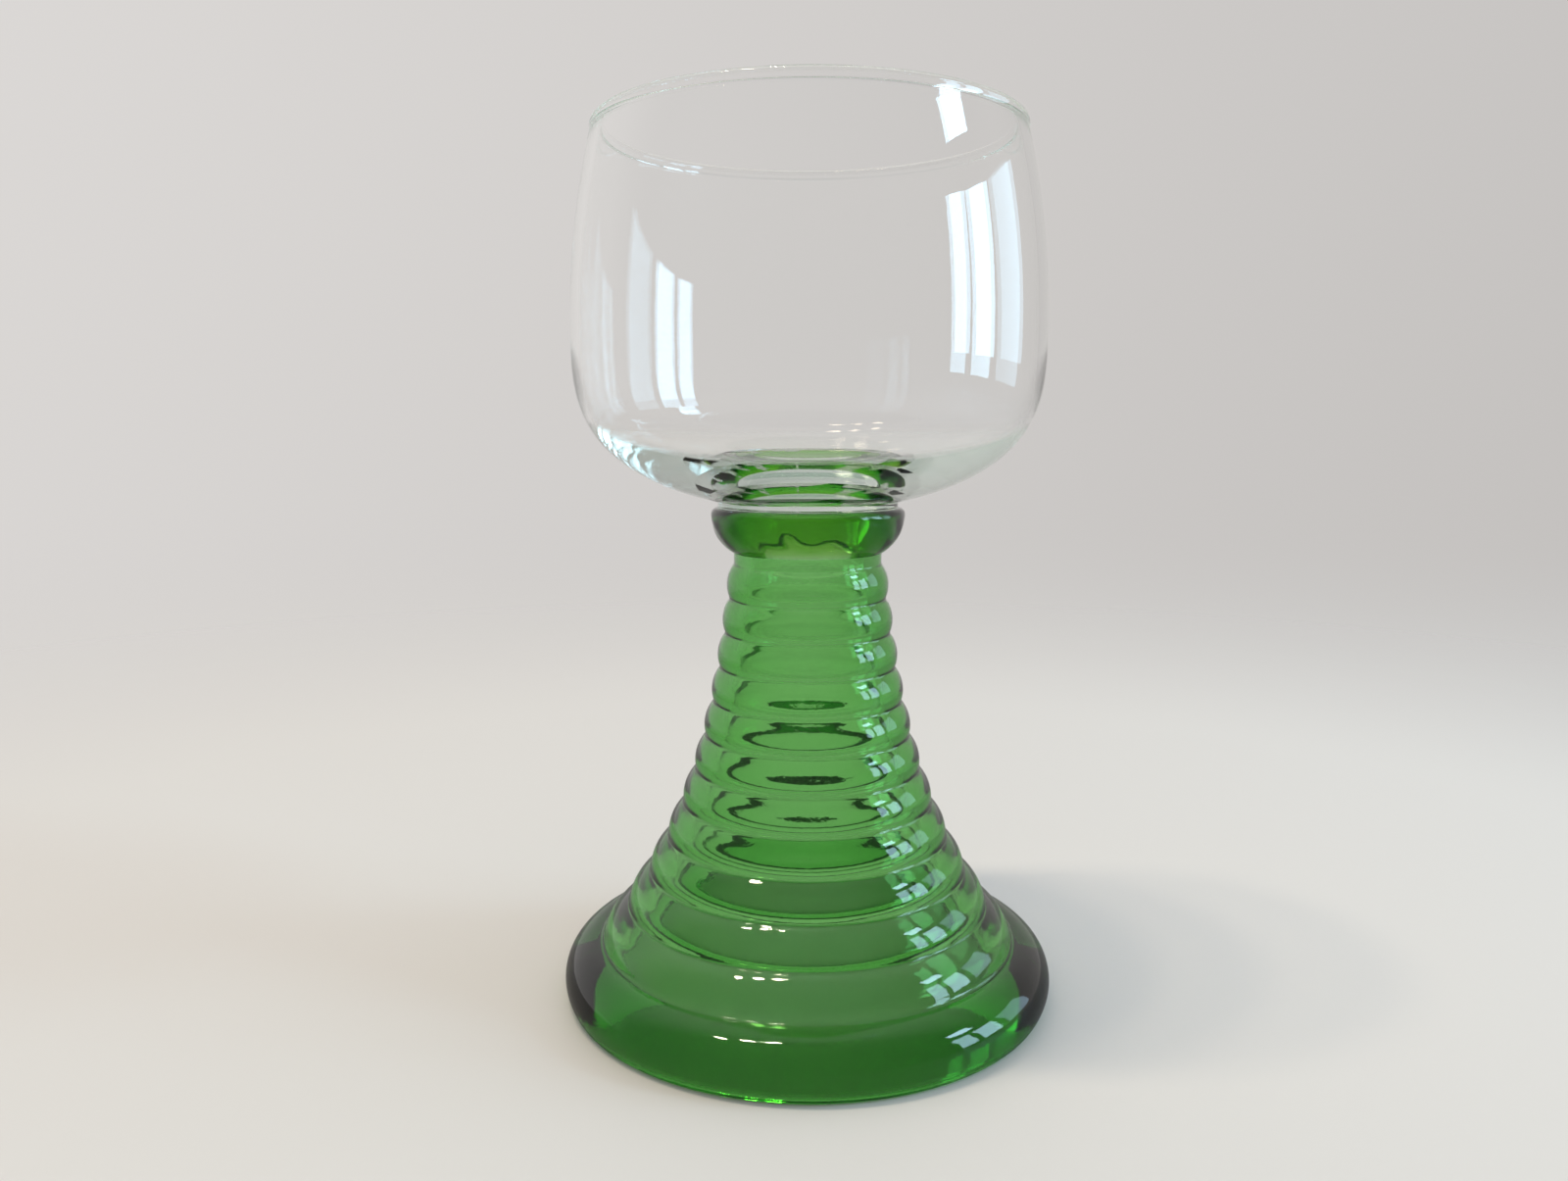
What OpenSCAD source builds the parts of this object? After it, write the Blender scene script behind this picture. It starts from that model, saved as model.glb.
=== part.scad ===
// Roemer wine glass: a clear bowl fused to a hollow, ringed green stem with a collar round the joint.
// Millimetres, +Z up, origin on the table at the centre of the foot.

/* [Foot] */
// Widest diameter of the rolled foot
foot_d = 79.4; // [70:0.2:92]
// Radius of the foot's rounded roll
foot_roll_r = 5.6; // [4.6:0.1:7]
// Height of the foot's widest line above the table
foot_edge_h = 3.3; // [2.4:0.1:4.2]
// How far the groove above the foot sits inside the crest of the roll
foot_groove_inset = 0.5; // [0:0.1:2]
// Width of the flat ring that the glass stands on
foot_ring_w = 4.4; // [2.5:0.1:6]

/* [Ringed stem] */
// Number of rings stacked between the foot and the neck
ring_count = 11; // [6:1:16]
// Height from one groove to the next
ring_pitch = 5.55; // [4.5:0.05:7]
// How far a ring swells past the line between its two grooves
ring_bulge = 0.8; // [0.4:0.05:1.2]
// Diameter of the stem at its top
stem_top_d = 23.6; // [19:0.2:28]
// Height of the plain neck between the rings and the collar
neck_h = 1.8; // [0.6:0.1:5]
// Wall of the hollow stem, measured level at a groove
stem_wall = 2.8; // [2:0.1:4.5]
// How far the hollow swells behind each ring
hollow_swell = 0.5; // [0:0.05:0.8]
// Share of the stem's widening that is a straight taper, the rest being a cubic flare
taper_share = 0.33; // [0.15:0.01:0.6]

/* [Collar] */
// Widest diameter of the collar
collar_d = 31; // [28.6:0.2:38]
// Height of the collar round the top of the stem
collar_h = 7.2; // [5:0.1:10]
// Rounding of the collar's upper edge
collar_lip_r = 1.2; // [0.6:0.1:1.8]

/* [Bowl] */
// Height of the bowl from its seat on the stem to the rim
bowl_h = 58; // [48:0.5:75]
// Widest outer diameter of the bowl
bowl_d = 73.3; // [69:0.1:84]
// Height of the widest line above the seat
bowl_widest_h = 27.1; // [22:0.1:34]
// Outer diameter over the rim bead
rim_d = 66.4; // [58:0.2:68.6]
// Diameter of the fire-polished rim bead
rim_bead_d = 1.9; // [1.6:0.1:2.4]
// Wall of the bowl
bowl_wall = 1.4; // [0.9:0.1:1.6]
// Thickness of the clear base over the seat
base_h = 2.9; // [2:0.1:6]
// Height of the short button between the seat and the bowl's underside
button_h = 0.9; // [0.4:0.1:2]
// How far the base sags into the stem's hollow
sag_h = 1.6; // [0.4:0.1:3]
// Fullness of the bowl's outside below its widest line, 2 being an ellipse
bowl_fullness = 3.1; // [2.8:0.05:3.6]
// Fullness of the bowl's inside below its widest line
cavity_fullness = 4; // [3:0.05:4.6]

/* [Hidden] */
$fn = 128;

// Steps along each smooth curve
bowl_steps = 30;
side_steps = 12;
lip_steps = 6;
sag_steps = 6;
hollow_ring_steps = 6;
foot_steps = 8;
// How far a cut runs past the face that it opens
cut_past = 1;

// Foot
foot_r = foot_d / 2;
roll_centre_r = foot_r - foot_roll_r;
rest_r = roll_centre_r + sqrt(pow(foot_roll_r, 2) - pow(foot_edge_h, 2));
mouth_r = rest_r - foot_ring_w;
foot_groove_r = roll_centre_r - foot_groove_inset;
foot_groove_z = foot_edge_h + sqrt(pow(foot_roll_r, 2) - pow(foot_groove_inset, 2));

// Ringed stem, with its collar and its seat for the bowl
stem_top_r = stem_top_d / 2;
rings_top_z = foot_groove_z + ring_count * ring_pitch;
collar_z = rings_top_z + neck_h;
seat_z = collar_z + collar_h;
hollow_top_r = stem_top_r - stem_wall;
hollow_foot_r = foot_groove_r - stem_wall;

// Collar
collar_r = collar_d / 2;
collar_widest_z = seat_z - collar_lip_r;
seat_r = collar_r - collar_lip_r;
collar_side_r = arc_radius(collar_r - stem_top_r, collar_widest_z - collar_z);
collar_side = [collar_r - collar_side_r, collar_widest_z];
collar_side_angle = atan2(collar_z - collar_side.y, stem_top_r - collar_side.x);

// Bowl
bowl_r = bowl_d / 2;
rim_bead_r = rim_bead_d / 2;
bowl_top_z = seat_z + bowl_h;
bowl_widest_z = seat_z + bowl_widest_h;
rim_centre_r = rim_d / 2 - rim_bead_r;
rim_centre_z = bowl_top_z - rim_bead_r;
wall_centre_r = bowl_r - bowl_wall / 2;
side_r = arc_radius(wall_centre_r - rim_centre_r, rim_centre_z - bowl_widest_z);
side_angle = asin((rim_centre_z - bowl_widest_z) / side_r);
seat_angle = asin(seat_r / bowl_r);
outer_depth = (bowl_widest_h - button_h) / pow(cos(seat_angle), 2 / bowl_fullness);
inner_depth = bowl_widest_h - base_h;
sag_r = arc_radius(sag_h, hollow_top_r);
sag_angle = asin(hollow_top_r / sag_r);

// Radius of an arc that leaves its outermost point square and draws in by dr over a distance dz
function arc_radius(dr, dz) = (dr * dr + dz * dz) / (2 * dr);

// Widening of the stem from its top (0) to its foot (1)
function flare(u) = taper_share * u + (1 - taper_share) * pow(u, 3);

// Radius of the line through the grooves, at a place counted in rings up from the foot
function stem_line(i) = stem_top_r + (foot_groove_r - stem_top_r) * flare(1 - i / ring_count);

// Groove number i, counted upwards from the foot
function groove(i) = [stem_line(i), foot_groove_z + i * ring_pitch];

// Inside of the stem at a place on the rings, which it follows with a softer swell
function hollow_edge(i) = [
    stem_line(i) - stem_wall + hollow_swell * (1 - cos(360 * i)) / 2,
    foot_groove_z + i * ring_pitch
];

// Inside of the foot, from the lowest groove (0) to the table (1), where it stands upright
function foot_hollow_edge(u) = [
    hollow_foot_r + (mouth_r - hollow_foot_r) * u * (2 - u),
    foot_groove_z * (1 - u)
];

// Bowl below its widest line: angle 0 on the axis, 90 at the widest line
function bowl_under(radius, depth, fullness, angle) = [
    radius * sin(angle),
    bowl_widest_z - depth * pow(cos(angle), 2 / fullness)
];

// Side of the bowl above its widest line, a distance out from the middle of the wall
function bowl_side(out, angle) = [
    wall_centre_r - side_r + (side_r + out) * cos(angle),
    bowl_widest_z + (side_r + out) * sin(angle)
];

// Point on an arc about a centre
function arc_point(centre, radius, angle) = centre + radius * [cos(angle), sin(angle)];

// Angle at step i of a curve from one angle to another
function step_angle(from, to, i, steps) = from + (to - from) * i / steps;

// One ring: a disc whose edge runs through two grooves and swells between them
module ring_section(low, high) {
    chord = norm(high - low);
    ring_r = (chord * chord / 4 + ring_bulge * ring_bulge) / (2 * ring_bulge);
    outward = [high.y - low.y, low.x - high.x] / chord;
    translate((low + high) / 2 - outward * (ring_r - ring_bulge))
        circle(r = ring_r);
}

// Wall behind the rings, kept inside the grooves
module stem_core_section() {
    inset = [ring_bulge / 2, 0];
    polygon(concat(
        [[0, 0], [roll_centre_r, 0]],
        [for (i = [0 : ring_count]) groove(i) - inset],
        [[0, rings_top_z]]
    ));
}

// Hollow from the seat down to the table: a straight bore, soft rings and the mouth of the foot
module hollow_section() {
    polygon(concat(
        [[0, seat_z + cut_past], [hollow_top_r, seat_z + cut_past]],
        [for (i = [ring_count * hollow_ring_steps : -1 : 1]) hollow_edge(i / hollow_ring_steps)],
        [for (i = [0 : foot_steps]) foot_hollow_edge(i / foot_steps)],
        [[mouth_r, -cut_past], [0, -cut_past]]
    ));
}

module stem_section() {
    difference() {
        intersection() {
            union() {
                stem_core_section();
                for (i = [0 : ring_count - 1])
                    ring_section(groove(i), groove(i + 1));
                translate([roll_centre_r, foot_edge_h])
                    circle(r = foot_roll_r);
                translate([0, rings_top_z - ring_bulge])
                    square([stem_top_r, seat_z - rings_top_z + ring_bulge]);
            }
            square([foot_r + cut_past, seat_z]);
        }
        hollow_section();
    }
}

// Ring round the top of the stem: it bulges to its widest line, with a small rounding above that
module collar_section() {
    polygon(concat(
        [for (i = [0 : side_steps])
            arc_point(collar_side, collar_side_r, step_angle(collar_side_angle, 0, i, side_steps))],
        [for (i = [1 : lip_steps])
            arc_point([seat_r, collar_widest_z], collar_lip_r, step_angle(0, 90, i, lip_steps))],
        [[stem_top_r, seat_z]]
    ));
}

// Wall of the bowl: out along the sagging base and the seat, up to the rim and down the inside
module bowl_section() {
    polygon(concat(
        [for (i = [0 : sag_steps])
            arc_point([0, seat_z - sag_h + sag_r], sag_r, step_angle(-90, sag_angle - 90, i, sag_steps))],
        [[seat_r, seat_z]],
        [for (i = [0 : bowl_steps])
            bowl_under(bowl_r, outer_depth, bowl_fullness, step_angle(seat_angle, 90, i, bowl_steps))],
        [for (i = [1 : side_steps])
            bowl_side(bowl_wall / 2, step_angle(0, side_angle, i, side_steps))],
        [for (i = [side_steps : -1 : 1])
            bowl_side(-bowl_wall / 2, step_angle(0, side_angle, i, side_steps))],
        [for (i = [bowl_steps : -1 : 0])
            bowl_under(bowl_r - bowl_wall, inner_depth, cavity_fullness, step_angle(0, 90, i, bowl_steps))]
    ));
    translate([rim_centre_r, rim_centre_z])
        circle(r = rim_bead_r);
}

module bowl() {
    color([0.86, 0.87, 0.86, 0.4])
        rotate_extrude() bowl_section();
}

module collar() {
    color([0.22, 0.44, 0.09, 0.8])
        rotate_extrude() collar_section();
}

module beehive_stem() {
    color([0.32, 0.54, 0.29, 0.7])
        rotate_extrude() stem_section();
}

bowl();
collar();
beehive_stem();
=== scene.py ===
import math

import bmesh
import bpy
import numpy as np
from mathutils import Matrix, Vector


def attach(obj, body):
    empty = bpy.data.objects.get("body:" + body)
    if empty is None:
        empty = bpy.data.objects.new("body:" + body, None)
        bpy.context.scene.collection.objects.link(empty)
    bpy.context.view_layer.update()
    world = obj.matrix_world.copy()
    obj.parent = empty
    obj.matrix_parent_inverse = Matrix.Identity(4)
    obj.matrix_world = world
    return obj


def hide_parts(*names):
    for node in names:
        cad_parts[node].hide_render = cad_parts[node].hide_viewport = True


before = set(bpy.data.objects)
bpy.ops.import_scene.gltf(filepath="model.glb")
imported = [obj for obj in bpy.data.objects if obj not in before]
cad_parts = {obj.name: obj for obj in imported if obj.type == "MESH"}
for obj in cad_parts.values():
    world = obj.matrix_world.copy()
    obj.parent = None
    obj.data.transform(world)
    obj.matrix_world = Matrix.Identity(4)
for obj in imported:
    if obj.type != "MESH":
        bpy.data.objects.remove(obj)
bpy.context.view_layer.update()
scene = bpy.context.scene

# Sizes of the glass in millimetres, the same as in the part's source
FOOT_D = 79.4
FOOT_ROLL_R = 5.6
FOOT_EDGE_H = 3.3
FOOT_GROOVE_INSET = 0.5
FOOT_RING_W = 4.4
RING_COUNT = 11
RING_PITCH = 5.55
RING_BULGE = 0.8
STEM_TOP_D = 23.6
NECK_H = 1.8
STEM_WALL = 2.8
HOLLOW_SWELL = 0.5
TAPER_SHARE = 0.33
COLLAR_D = 31.0
COLLAR_H = 7.2
COLLAR_LIP_R = 1.2
BOWL_H = 58.0
BOWL_D = 73.3
BOWL_WIDEST_H = 27.1
RIM_D = 66.4
RIM_BEAD_D = 1.9
BOWL_WALL = 1.4
BASE_H = 2.9
BUTTON_H = 0.9
SAG_H = 1.6
BOWL_FULLNESS = 3.1
CAVITY_FULLNESS = 4.0

# Small roundings that only the finished surface has, in millimetres
GROOVE_FILLET = 0.7
FOOT_EDGE_FILLET = 0.6
MOUTH_FILLET = 0.8
RIM_FILLET = 1.6
# Gap between the faces of two pieces at their seats, in millimetres
SEAT_GAP = 0.01
# Unevenness of the collar's outside: its height, then each wave's count round the collar and its lean
COLLAR_WAVE_H = 0.05
COLLAR_WAVES = ((7, 0.5), (11, -0.7), (17, 0.9))
# Share of the bowl's seat that is melted together, over the stem and over the collar
STEM_MELT = 0.56
COLLAR_MELT = 0.42
# How close a face has to be to a seat to belong to it, in millimetres
SEAT_REACH = 0.1

MM = 0.001

# Steps round the glass and along the curves of its outlines
AROUND = 192
ROLL_STEPS = 26
RING_STEPS = 16
FILLET_STEPS = 5
HOLLOW_RING_STEPS = 14
FOOT_HOLLOW_STEPS = 24
MOUTH_STEPS = 6
COLLAR_SIDE_STEPS = 24
COLLAR_LIP_STEPS = 12
SAG_STEPS = 16
BOWL_UNDER_STEPS = 56
CAVITY_STEPS = 64
BOWL_SIDE_STEPS = 25
RIM_FILLET_STEPS = 8
RIM_BEAD_STEPS = 21
EVEN_STEPS = 3999
# Edges that turn more sharply than this stay sharp, in degrees
SHARP_TURN = 32

# Places that follow from the sizes
FOOT_R = FOOT_D / 2
ROLL_CENTRE = np.array([FOOT_R - FOOT_ROLL_R, FOOT_EDGE_H])
REST_R = ROLL_CENTRE[0] + math.sqrt(FOOT_ROLL_R**2 - FOOT_EDGE_H**2)
MOUTH_R = REST_R - FOOT_RING_W
FOOT_GROOVE_R = ROLL_CENTRE[0] - FOOT_GROOVE_INSET
FOOT_GROOVE_Z = FOOT_EDGE_H + math.sqrt(FOOT_ROLL_R**2 - FOOT_GROOVE_INSET**2)
STEM_TOP_R = STEM_TOP_D / 2
HOLLOW_TOP_R = STEM_TOP_R - STEM_WALL
RINGS_TOP_Z = FOOT_GROOVE_Z + RING_COUNT * RING_PITCH
COLLAR_Z = RINGS_TOP_Z + NECK_H
SEAT_Z = COLLAR_Z + COLLAR_H
COLLAR_R = COLLAR_D / 2
COLLAR_WIDEST_Z = SEAT_Z - COLLAR_LIP_R
SEAT_R = COLLAR_R - COLLAR_LIP_R
BOWL_R = BOWL_D / 2
RIM_BEAD_R = RIM_BEAD_D / 2
BOWL_TOP_Z = SEAT_Z + BOWL_H
BOWL_WIDEST_Z = SEAT_Z + BOWL_WIDEST_H
RIM_CENTRE_R = RIM_D / 2 - RIM_BEAD_R
RIM_CENTRE_Z = BOWL_TOP_Z - RIM_BEAD_R
WALL_CENTRE_R = BOWL_R - BOWL_WALL / 2


def arc_radius(dr, dz):
    """Radius of an arc that leaves its outermost point square and draws in by dr over a distance dz."""
    return (dr * dr + dz * dz) / (2 * dr)


def arc(centre, radius, start, end, steps):
    """Points along an arc, its angles in radians, both ends included."""
    angles = np.linspace(start, end, steps + 1)
    return [
        np.array([centre[0] + radius * math.cos(a), centre[1] + radius * math.sin(a)])
        for a in angles
    ]


def line(start, end, steps):
    """Points along a straight line, both ends included."""
    return list(np.linspace(start, end, steps + 1))


def angle_at(centre, point):
    """Angle of the way from a centre to a point, in radians."""
    return math.atan2(point[1] - centre[1], point[0] - centre[0])


def meet_right(a, ra, b, rb):
    """Where two circles cross, on the side to the right of the way from a to b."""
    way = b - a
    d = np.linalg.norm(way)
    along = (d * d + ra * ra - rb * rb) / (2 * d)
    off = math.sqrt(max(ra * ra - along * along, 0))
    unit = way / d
    return a + along * unit + off * np.array([unit[1], -unit[0]])


def flare(u):
    """Widening of the stem from its top (0) to its foot (1)."""
    return TAPER_SHARE * u + (1 - TAPER_SHARE) * u**3


def stem_line(i):
    """Radius of the line through the grooves, at a place counted in rings up from the foot."""
    return STEM_TOP_R + (FOOT_GROOVE_R - STEM_TOP_R) * flare(1 - i / RING_COUNT)


def groove(i):
    """Groove number i, counted upwards from the foot."""
    return np.array([stem_line(i), FOOT_GROOVE_Z + i * RING_PITCH])


def hollow_edge(i):
    """Inside of the stem beside a place on the rings, which it follows with a softer swell."""
    swell = HOLLOW_SWELL * (1 - math.cos(2 * math.pi * i)) / 2
    return np.array([stem_line(i) - STEM_WALL + swell, FOOT_GROOVE_Z + i * RING_PITCH])


def foot_hollow_edge(u):
    """Inside of the foot, from the lowest groove (0) to the table (1)."""
    top_r = FOOT_GROOVE_R - STEM_WALL
    return np.array([top_r + (MOUTH_R - top_r) * u * (2 - u), FOOT_GROOVE_Z * (1 - u)])


def ring_circle(low, high):
    """Centre and radius of the arc that swells between two grooves."""
    chord = np.linalg.norm(high - low)
    radius = (chord * chord / 4 + RING_BULGE**2) / (2 * RING_BULGE)
    outward = np.array([high[1] - low[1], low[0] - high[0]]) / chord
    return (low + high) / 2 - outward * (radius - RING_BULGE), radius


def ringed_outside(edge_centre):
    """Outside of the stem from the edge of the resting ring up to the straight neck."""
    start = angle_at(ROLL_CENTRE, edge_centre)
    points = arc(edge_centre, FOOT_EDGE_FILLET, -math.pi / 2, start, FILLET_STEPS)
    circles = [(ROLL_CENTRE, FOOT_ROLL_R)]
    circles += [ring_circle(groove(i), groove(i + 1)) for i in range(RING_COUNT)]
    for i, (centre, radius) in enumerate(circles):
        # dip is the centre of the small rounding between this ring and the next, or the neck
        reach = radius + GROOVE_FILLET
        if i + 1 < len(circles):
            after, after_r = circles[i + 1]
            dip = meet_right(centre, reach, after, after_r + GROOVE_FILLET)
            turn_to = angle_at(dip, after)
            next_start = angle_at(after, dip)
        else:
            dip_r = STEM_TOP_R + GROOVE_FILLET
            rise = math.sqrt(reach**2 - (dip_r - centre[0]) ** 2)
            dip = np.array([dip_r, centre[1] + rise])
            turn_to = math.pi
            next_start = None
        if i == 0:
            points += arc(centre, radius, start, angle_at(centre, dip), ROLL_STEPS)[1:]
        else:
            points += arc(centre, radius, start, angle_at(centre, dip), RING_STEPS)
        turn_from = angle_at(dip, centre)
        while turn_to > turn_from:
            turn_to -= 2 * math.pi
        points += arc(dip, GROOVE_FILLET, turn_from, turn_to, FILLET_STEPS)[1:-1]
        start = next_start
    return points


def stem_profile():
    """Outline of the stem, once round: up the rings, over the top and down the hollow."""
    edge = FOOT_EDGE_FILLET
    edge_r = ROLL_CENTRE[0] + math.sqrt((FOOT_ROLL_R - edge) ** 2 - (edge - FOOT_EDGE_H) ** 2)
    points = ringed_outside(np.array([edge_r, edge]))
    # Straight neck, which starts a little clear of the last rounding, seat for the bowl and straight bore
    clear = 0.2
    top = SEAT_Z - SEAT_GAP
    neck_low = points[-1][1] + clear
    points += line((STEM_TOP_R, neck_low), (STEM_TOP_R, COLLAR_Z), 3)
    points += line((STEM_TOP_R, COLLAR_Z), (STEM_TOP_R, top), 5)[1:]
    points += line((STEM_TOP_R, top), (HOLLOW_TOP_R, top), 3)[1:]
    points += line((HOLLOW_TOP_R, top), (HOLLOW_TOP_R, RINGS_TOP_Z), 7)[1:-1]
    # Hollow behind the rings and inside the foot
    points += [hollow_edge(k / HOLLOW_RING_STEPS) for k in range(RING_COUNT * HOLLOW_RING_STEPS, 0, -1)]
    hollow = [foot_hollow_edge(u) for u in np.linspace(0, 1, FOOT_HOLLOW_STEPS + 1)]
    points += hollow[:-1]
    # Rounded inner edge of the resting ring, then the ring itself
    corner = hollow[-1]
    up = hollow[-2] - corner
    up /= np.linalg.norm(up)
    across = np.array([1.0, 0.0])
    half = math.acos(np.clip(np.dot(up, across), -1, 1)) / 2
    reach = MOUTH_FILLET / math.tan(half)
    middle = up + across
    middle /= np.linalg.norm(middle)
    centre = corner + middle * MOUTH_FILLET / math.sin(half)
    first = angle_at(centre, corner + up * reach)
    last = angle_at(centre, corner + across * reach)
    while last < first:
        last += 2 * math.pi
    points += arc(centre, MOUTH_FILLET, first, last, MOUTH_STEPS)
    # The flat's own points keep clear of the roundings beside it
    inset = 0.6
    points += line((centre[0] + inset, 0), (edge_r - inset, 0), 3)
    return points


def collar_profile():
    """Outline of the collar, once round: out along its underside, over the lip and down the stem."""
    inside_r = STEM_TOP_R + SEAT_GAP
    side_r = arc_radius(COLLAR_R - STEM_TOP_R, COLLAR_WIDEST_Z - COLLAR_Z)
    side = (COLLAR_R - side_r, COLLAR_WIDEST_Z)
    points = arc(side, side_r, angle_at(side, (STEM_TOP_R, COLLAR_Z)), 0, COLLAR_SIDE_STEPS)
    points[0][0] = inside_r
    points += arc((SEAT_R, COLLAR_WIDEST_Z), COLLAR_LIP_R, 0, math.pi / 2, COLLAR_LIP_STEPS)[1:]
    points += line((SEAT_R, SEAT_Z), (inside_r, SEAT_Z), 3)[1:]
    points += line((inside_r, SEAT_Z), (inside_r, COLLAR_Z), 5)[1:-1]
    return points


def bowl_under(radius, depth, fullness, angle):
    """Lower half of the bowl: angle 0 on the axis, a quarter turn at the widest line."""
    return np.array([
        radius * math.sin(angle),
        BOWL_WIDEST_Z - depth * max(math.cos(angle), 0) ** (2 / fullness),
    ])


def even(curve, start, end, count):
    """Points spaced evenly along a curve between two values of its angle."""
    fine = [curve(a) for a in np.linspace(start, end, EVEN_STEPS + 1)]
    steps = [np.linalg.norm(b - a) for a, b in zip(fine, fine[1:])]
    travel = np.concatenate([[0], np.cumsum(steps)])
    places = np.linspace(0, travel[-1], count + 1)
    r = np.interp(places, travel, [p[0] for p in fine])
    z = np.interp(places, travel, [p[1] for p in fine])
    return [np.array(p) for p in zip(r, z)]


def bowl_wall_and_rim():
    """Bowl above its widest line: up the outside, over the rim bead and down the inside."""
    rise = RIM_CENTRE_Z - BOWL_WIDEST_Z
    side_r = arc_radius(WALL_CENTRE_R - RIM_CENTRE_R, rise)
    side_angle = math.asin(rise / side_r)
    side_centre = np.array([WALL_CENTRE_R - side_r, BOWL_WIDEST_Z])

    def on_side(down, out):
        """A point a distance down the wall from the rim's centre and a distance out from mid-wall."""
        a = side_angle - down / side_r
        return side_centre + (side_r + out) * np.array([math.cos(a), math.sin(a)])

    # The rim bead runs out into the wall through a soft fillet
    half = BOWL_WALL / 2
    drop = math.sqrt((RIM_BEAD_R + RIM_FILLET) ** 2 - (half + RIM_FILLET) ** 2)
    lean = math.atan2(half + RIM_FILLET, drop)
    outside = [(down, half) for down in np.linspace(side_r * side_angle, drop, BOWL_SIDE_STEPS + 1)[1:-1]]
    outside += [
        (drop - RIM_FILLET * math.cos(a), half + RIM_FILLET - RIM_FILLET * math.sin(a))
        for a in np.linspace(math.pi / 2, lean, RIM_FILLET_STEPS + 1)
    ]
    outside += [
        (RIM_BEAD_R * math.cos(a), RIM_BEAD_R * math.sin(a))
        for a in np.linspace(lean, math.pi, RIM_BEAD_STEPS + 1)[1:]
    ]
    # The inside mirrors the outside, without a second point on the crest
    inside = [(down, -out) for down, out in reversed(outside[:-1])]
    return [on_side(down, out) for down, out in outside + inside]


def bowl_profile():
    """Outline of the bowl: from its lowest point up the outside, over the rim and down to its floor."""
    under_z = SEAT_Z + SEAT_GAP
    # The soft base sags into the stem's hollow
    sag_r = arc_radius(SAG_H, HOLLOW_TOP_R)
    sag_turn = math.asin(HOLLOW_TOP_R / sag_r)
    down = -math.pi / 2
    points = arc((0, under_z - SAG_H + sag_r), sag_r, down, down + sag_turn, SAG_STEPS)
    points[0][0] = 0.0
    points += line((HOLLOW_TOP_R, under_z), (SEAT_R, under_z), 5)[1:]
    points += [np.array([SEAT_R, under_z + BUTTON_H * t]) for t in (0.33, 0.66)]
    seat_angle = math.asin(SEAT_R / BOWL_R)
    outer_depth = (BOWL_WIDEST_H - BUTTON_H) / math.cos(seat_angle) ** (2 / BOWL_FULLNESS)
    points += even(
        lambda a: bowl_under(BOWL_R, outer_depth, BOWL_FULLNESS, a),
        seat_angle, math.pi / 2, BOWL_UNDER_STEPS,
    )
    points += bowl_wall_and_rim()
    inner_depth = BOWL_WIDEST_H - BASE_H
    points += even(
        lambda a: bowl_under(BOWL_R - BOWL_WALL, inner_depth, CAVITY_FULLNESS, a),
        math.pi / 2, 0, CAVITY_STEPS,
    )
    points[-1][0] = 0.0
    return points


def collar_wave(turn, r, z):
    """How far the collar's outside falls short of a true round, at a turn, radius and height."""
    rise = (z - COLLAR_Z) / COLLAR_H
    if r < STEM_TOP_R + SEAT_REACH or not 0 < rise < 1:
        return 0.0
    waves = sum(math.sin(k * turn + lean * z) for k, lean in COLLAR_WAVES)
    return COLLAR_WAVE_H * math.sin(math.pi * rise) * (waves - len(COLLAR_WAVES))


def melted(face):
    """Share of a face that is melted onto the next piece: the bowl's seat, and the stem in the collar."""
    middle = face.center / MM
    r = math.hypot(middle.x, middle.y)
    level = abs(face.normal.z) > 0.999
    upright = abs(face.normal.z) < 0.001
    if level and abs(middle.z - SEAT_Z) < SEAT_REACH and HOLLOW_TOP_R < r < SEAT_R:
        return STEM_MELT if r < STEM_TOP_R else COLLAR_MELT
    if upright and abs(r - STEM_TOP_R) < SEAT_REACH and middle.z > COLLAR_Z:
        return 1.0
    return 0.0


def lathe(name, outline, wave=None):
    """
    Turns an outline about the upright axis into a closed smooth mesh, whose contact attribute says how
    much of each face is melted onto the next piece. wave gives a point's way out of round.
    """
    bm = bmesh.new()
    rows = []
    for r, z in outline:
        if r < 1e-9:
            rows.append([bm.verts.new((0, 0, z * MM))])
            continue
        row = []
        for k in range(AROUND):
            t = 2 * math.pi * k / AROUND
            reach = (r + wave(t, r, z) if wave else r) * MM
            row.append(bm.verts.new((reach * math.cos(t), reach * math.sin(t), z * MM)))
        rows.append(row)
    pairs = list(zip(rows, rows[1:]))
    # An outline that starts and ends off the axis closes on itself
    if len(rows[0]) > 1 and len(rows[-1]) > 1:
        pairs.append((rows[-1], rows[0]))
    for low, high in pairs:
        for k in range(AROUND):
            n = (k + 1) % AROUND
            if len(low) == 1:
                bm.faces.new((low[0], high[n], high[k]))
            elif len(high) == 1:
                bm.faces.new((low[k], low[n], high[0]))
            else:
                bm.faces.new((low[k], low[n], high[n], high[k]))
    bmesh.ops.recalc_face_normals(bm, faces=bm.faces)
    mesh = bpy.data.meshes.new(name)
    bm.to_mesh(mesh)
    bm.free()
    mesh.shade_smooth()
    mesh.set_sharp_from_angle(angle=math.radians(SHARP_TURN))
    contact = mesh.attributes.new("contact", "FLOAT", "FACE")
    contact.data.foreach_set("value", [melted(face) for face in mesh.polygons])
    piece = bpy.data.objects.new(name, mesh)
    scene.collection.objects.link(piece)
    return piece


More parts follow.
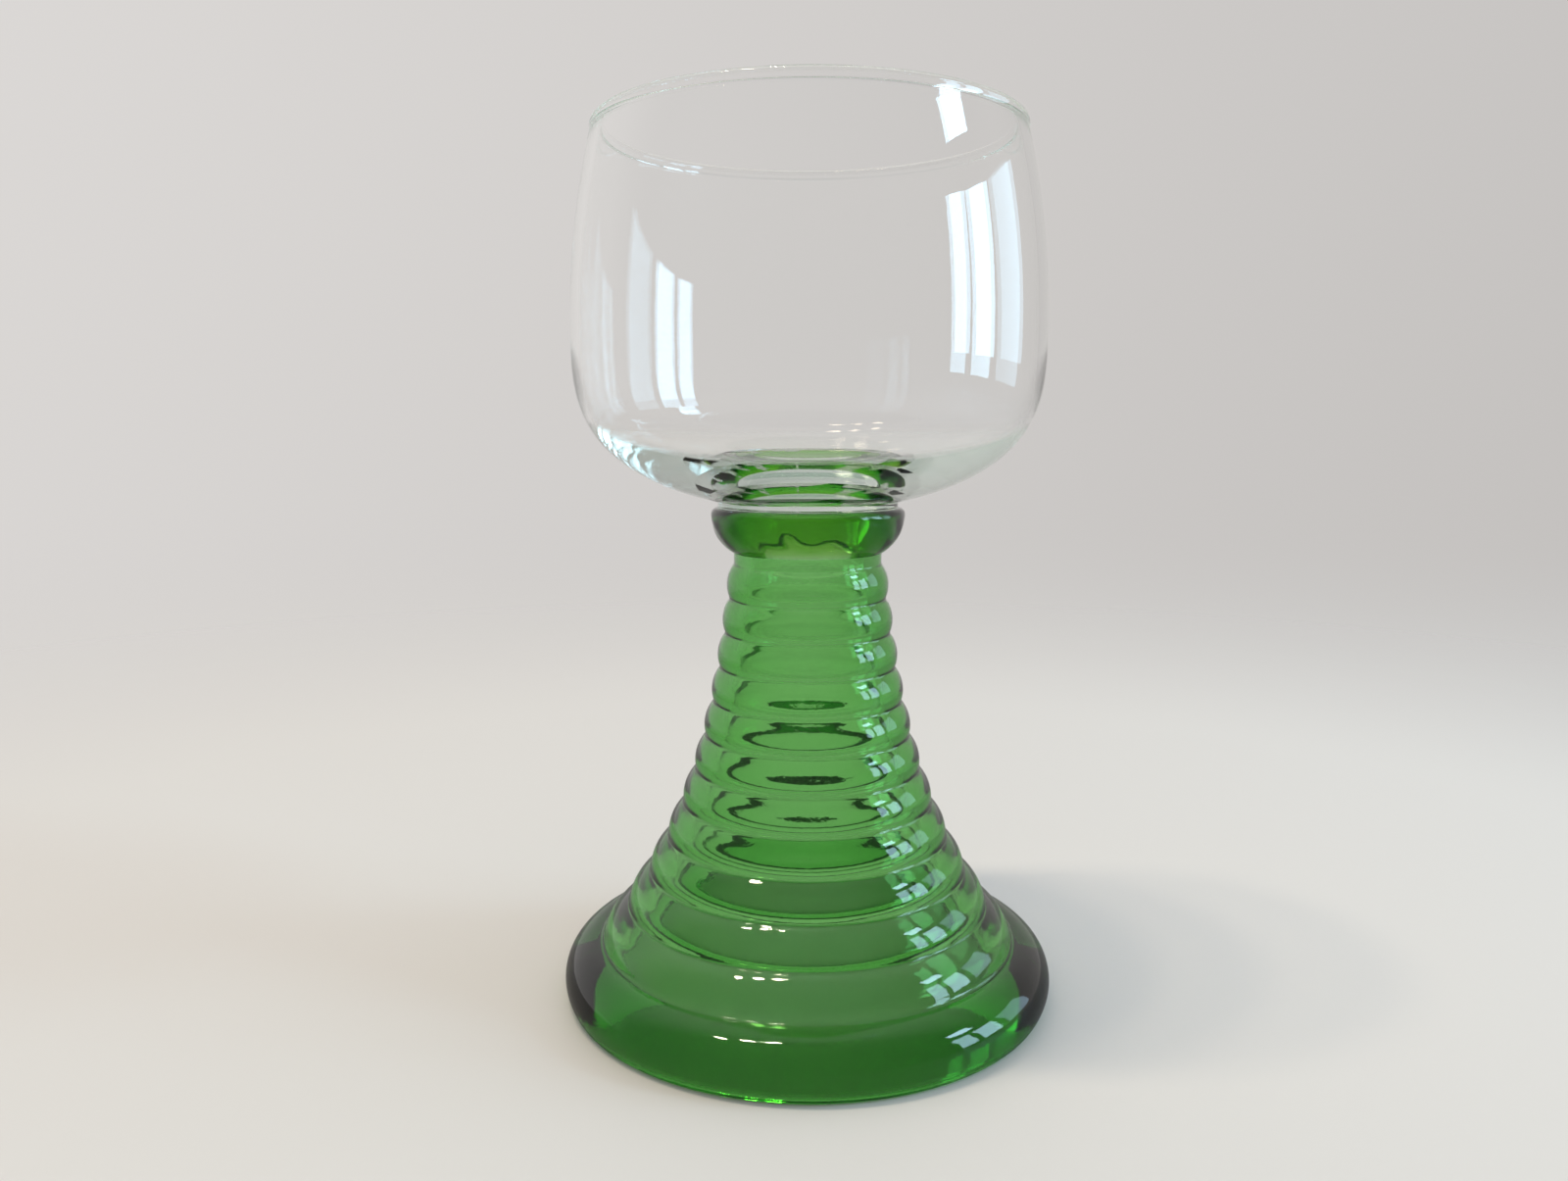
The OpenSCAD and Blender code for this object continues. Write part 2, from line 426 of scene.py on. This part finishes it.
class Nodes:
    """Short ways to add and join the nodes of one material."""

    def __init__(self, owner):
        owner.use_nodes = True
        self.tree = owner.node_tree
        self.tree.nodes.clear()

    def add(self, kind, sockets=None, **settings):
        """Adds a node, and sets each socket given to a value or joins it to an output."""
        node = self.tree.nodes.new("ShaderNode" + kind)
        for key, value in settings.items():
            setattr(node, key, value)
        for key, value in (sockets or {}).items():
            if isinstance(value, bpy.types.NodeSocket):
                self.tree.links.new(value, node.inputs[key])
            else:
                node.inputs[key].default_value = value
        return node

    def math(self, operation, *values):
        """Output of a Math node over values and outputs."""
        return self.add("Math", dict(enumerate(values)), operation=operation).outputs["Value"]

    def remap(self, value, from_low, from_high, to_low, to_high, **settings):
        """Output that takes a value from one range to another and stays within it."""
        return self.add("MapRange", {
            "Value": value, "From Min": from_low, "From Max": from_high,
            "To Min": to_low, "To Max": to_high,
        }, **settings).outputs["Result"]


# How glass bends light, and how it does where two pieces are melted into one
GLASS_IOR = 1.52
MELTED_IOR = 1.001
# Roughness that a seat adds, for each whole share of it that is melted
SEAT_ROUGHNESS = 0.6


def glass(name, absorbs, smudge, ripple_scale, ripple_height, wrinkle):
    """
    Glass that is coloured through its depth. absorbs is what a metre of it takes off red, green and
    blue, smudge the roughness of its worst smudges, ripple_height in millimetres, and wrinkle the
    height of the finer wrinkles as a share of the ripples.
    """
    mat = bpy.data.materials.new(name)
    n = Nodes(mat)
    place = n.add("TexCoord").outputs["Object"]
    contact = n.add("Attribute", attribute_name="contact").outputs["Fac"]

    # Fingerprints and dried water make the shine a little uneven, and seats are rougher
    marks = n.add("TexNoise", {"Vector": place, "Scale": 85, "Detail": 4, "Distortion": 0.8})
    shine = n.remap(marks.outputs["Fac"], 0.42, 0.75, 0, smudge)
    roughness = n.math("MULTIPLY_ADD", contact, SEAT_ROUGHNESS, shine)

    # Long soft ripples, and finer wrinkles where the glass chilled against the mould
    ripple = n.add("TexNoise", {"Vector": place, "Scale": ripple_scale, "Detail": 2})
    chill = n.add("TexNoise", {
        "Vector": place, "Scale": ripple_scale * 3.4, "Detail": 3, "Distortion": 1.5,
    })
    wrinkles = n.math("MULTIPLY", chill.outputs["Fac"], wrinkle)
    height = n.math("ADD", ripple.outputs["Fac"], wrinkles)
    bump = n.add("Bump", {"Height": height, "Strength": 1, "Distance": ripple_height * MM})

    # Where two pieces are melted together light goes straight on, and elsewhere it meets a face
    patches = n.add("TexNoise", {"Vector": place, "Scale": 140, "Detail": 3, "Distortion": 1.2})
    joined = n.math("SUBTRACT", contact, patches.outputs["Fac"])
    bend = n.remap(joined, -0.02, 0.02, GLASS_IOR, MELTED_IOR)

    surface = n.add("BsdfPrincipled", {
        "Base Color": (1, 1, 1, 1), "Transmission Weight": 1, "Roughness": roughness,
        "Normal": bump.outputs["Normal"], "IOR": bend,
    })
    # The volume takes off its density times what its colour lacks
    density = max(absorbs) / 0.98
    depth = n.add("VolumeAbsorption", {
        "Color": (*[1 - a / density for a in absorbs], 1), "Density": density,
    })
    n.add("OutputMaterial", {"Surface": surface.outputs["BSDF"], "Volume": depth.outputs["Volume"]})
    return mat


clear_glass = glass(
    "clear_glass", absorbs=(3.6, 2.0, 3.0), smudge=0.045,
    ripple_scale=60, ripple_height=0.012, wrinkle=0.08,
)
green_glass = glass(
    "green_glass", absorbs=(290, 102, 330), smudge=0.05,
    ripple_scale=160, ripple_height=0.03, wrinkle=0.25,
)
collar_glass = glass(
    "collar_glass", absorbs=(189, 88, 470), smudge=0.05,
    ripple_scale=160, ripple_height=0.03, wrinkle=0.25,
)

bowl = lathe("glass_bowl", bowl_profile())
collar = lathe("glass_collar", collar_profile(), collar_wave)
stem = lathe("glass_stem", stem_profile())
for piece, node, slot, material in (
    (bowl, "bowl", "clear_glass", clear_glass),
    (collar, "collar", "collar_glass", collar_glass),
    (stem, "beehive_stem", "green_glass", green_glass),
):
    piece.data.materials.append(material)
    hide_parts(node)
    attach(piece, "root")

# How bright the studio is in reflections, as a share of how it looks
MIRRORED = 0.35
# Places of the colour sockets of a Mix node, whose names other sockets of it have too
MIX_A, MIX_B, MIX_RESULT = 6, 7, 2


def mirrored(n):
    """1 for a ray that was last reflected, and 0 for any other."""
    path = n.add("LightPath")
    not_passed = n.math("SUBTRACT", 1, path.outputs["Is Transmission Ray"])
    return n.math("MULTIPLY", path.outputs["Is Glossy Ray"], not_passed)


def dimmed(n, colour, share=1):
    """A colour, or the output that gives it, taken down in a share of the reflections."""
    mix = n.add("Mix", data_type="RGBA", blend_type="MULTIPLY", sockets={
        "Factor": n.math("MULTIPLY", mirrored(n), share),
        MIX_A: colour,
        MIX_B: (MIRRORED, MIRRORED, MIRRORED, 1),
    })
    return mix.outputs[MIX_RESULT]


# Pale floor that fades into the pale background, in metres
FLOOR_R = 1.6
FLOOR_DROP = 0.0002
FADE_START = 0.2
FADE_END = 1.5
FLOOR_COLOUR = (0.74, 0.72, 0.70, 1)
floor_mesh = bpy.data.meshes.new("floor")
bm = bmesh.new()
bmesh.ops.create_circle(bm, cap_ends=True, radius=FLOOR_R, segments=96)
bm.to_mesh(floor_mesh)
bm.free()
floor = bpy.data.objects.new("floor", floor_mesh)
floor.location.z = -FLOOR_DROP
scene.collection.objects.link(floor)

mat = bpy.data.materials.new("pale_floor")
n = Nodes(mat)
paint = n.add("BsdfPrincipled", {"Base Color": dimmed(n, FLOOR_COLOUR), "Roughness": 0.6})
gone = n.add("BsdfTransparent")
# Fading by one over the distance spreads the fade evenly over the picture
place = n.add("TexCoord").outputs["Object"]
far = n.add("VectorMath", {0: place}, operation="LENGTH").outputs["Value"]
near = n.math("DIVIDE", 1, far)
fade = n.remap(near, 1 / FADE_START, 1 / FADE_END, 0, 1, interpolation_type="SMOOTHSTEP")
mix = n.add("MixShader", {"Fac": fade, 1: paint.outputs["BSDF"], 2: gone.outputs["BSDF"]})
n.add("OutputMaterial", {"Surface": mix.outputs["Shader"]})
floor_mesh.materials.append(mat)

# Pale background, from straight down (0) to straight up (1), that dims a little towards the right
BACKGROUND = (
    (0.0, (0.60, 0.585, 0.57, 1)),
    (0.45, (0.62, 0.60, 0.585, 1)),
    (0.66, (0.64, 0.62, 0.605, 1)),
    (0.85, (0.57, 0.56, 0.55, 1)),
    (1.0, (0.56, 0.555, 0.55, 1)),
)
SIDE_FALL = 0.2
# Where the background dims in reflections: all of it in front of the first Y, none past the second
FRONT_FROM, FRONT_TO = -0.2, 0.35
# Soft light from all round
FILL = (0.66, 0.655, 0.65, 1)
world = bpy.data.worlds.new("studio")
scene.world = world
n = Nodes(world)
way = n.add("TexCoord").outputs["Generated"]
part = n.add("SeparateXYZ", {"Vector": way})
ramp = n.add("ValToRGB", {"Fac": n.remap(part.outputs["Z"], -1, 1, 0, 1)})
ramp.color_ramp.interpolation = "EASE"
stops = ramp.color_ramp.elements
for stop, (position, colour) in zip((stops[0], stops[1]), (BACKGROUND[0], BACKGROUND[-1])):
    stop.position = position
    stop.color = colour
for position, colour in BACKGROUND[1:-1]:
    stops.new(position).color = colour
front = n.remap(part.outputs["Y"], FRONT_FROM, FRONT_TO, 1, 0, interpolation_type="SMOOTHSTEP")
seen = n.add("Background", {
    "Color": dimmed(n, ramp.outputs["Color"], front),
    "Strength": n.remap(part.outputs["X"], -1, 1, 1 + SIDE_FALL, 1 - SIDE_FALL),
})
fill = n.add("Background", {"Color": FILL})
path = n.add("LightPath")
shown = n.math("MAXIMUM", path.outputs["Is Camera Ray"], path.outputs["Is Glossy Ray"])
through = n.math("MAXIMUM", shown, path.outputs["Is Transmission Ray"])
mix = n.add("MixShader", {
    "Fac": through, 1: fill.outputs["Background"], 2: seen.outputs["Background"],
})
n.add("OutputWorld", {"Surface": mix.outputs["Shader"]})

# Middle of the glass, which the lamps face
GLASS_MIDDLE = (0, 0, 0.075)


def softbox(name, place, width, height, radiance, colour):
    """A rectangular lamp of a given brightness that faces the middle of the glass."""
    lamp = bpy.data.lights.new(name, "AREA")
    lamp.shape = "RECTANGLE"
    lamp.size = width
    lamp.size_y = height
    lamp.energy = radiance * math.pi * width * height
    lamp.color = colour
    ob = bpy.data.objects.new(name, lamp)
    ob.location = place
    ob.rotation_euler = (Vector(GLASS_MIDDLE) - Vector(place)).to_track_quat("-Z", "Y").to_euler()
    ob.visible_camera = False
    scene.collection.objects.link(ob)


# Window-like softboxes on the right, the first high up: name, degrees round from the camera, height,
# width, height of the pane, radiance. Metres.
DAYLIGHT = (0.52, 0.80, 1.0)
WINDOW_AWAY = 1.1
for name, turn, place_z, width, height, radiance in (
    ("window_top", 80, 0.80, 0.26, 0.16, 14.0),
    ("window_a", 73, 0.30, 0.17, 0.46, 8.0),
    ("window_b", 87, 0.30, 0.24, 0.46, 8.0),
    ("window_dim", 107, 0.30, 0.36, 0.46, 2.2),
):
    a = math.radians(turn)
    spot = (WINDOW_AWAY * math.sin(a), -WINDOW_AWAY * math.cos(a), place_z)
    softbox(name, spot, width, height, radiance, DAYLIGHT)

# A cluster of small warm bulbs overhead on the left
WARM = (1.0, 0.86, 0.66)
BULB_SIZE = 0.07
BULB_RADIANCE = 90
BULBS = ((-0.46, -0.10, 1.10), (-0.31, -0.10, 1.15), (-0.16, -0.10, 1.10))
for k, spot in enumerate(BULBS):
    softbox("bulb_%d" % k, spot, BULB_SIZE, BULB_SIZE, BULB_RADIANCE, WARM)

# Camera at the photograph's viewpoint, tipped down and turned a little to the left
TIP_DOWN = 7.702
TURN_LEFT = 1.12
cam = bpy.data.cameras.new("camera")
cam.sensor_width = 36
cam.lens = 27.866
cam.clip_start = 0.01
camera = bpy.data.objects.new("camera", cam)
camera.location = (0, -0.193175, 0.091634)
camera.rotation_euler = (math.radians(90 - TIP_DOWN), 0, math.radians(TURN_LEFT))
scene.collection.objects.link(camera)
scene.camera = camera

# Light is reflected many times inside the glass before it leaves
BOUNCES = 96
scene.view_settings.view_transform = "Standard"
scene.cycles.max_bounces = BOUNCES
scene.cycles.transmission_bounces = BOUNCES
scene.cycles.glossy_bounces = BOUNCES
scene.cycles.transparent_max_bounces = 16
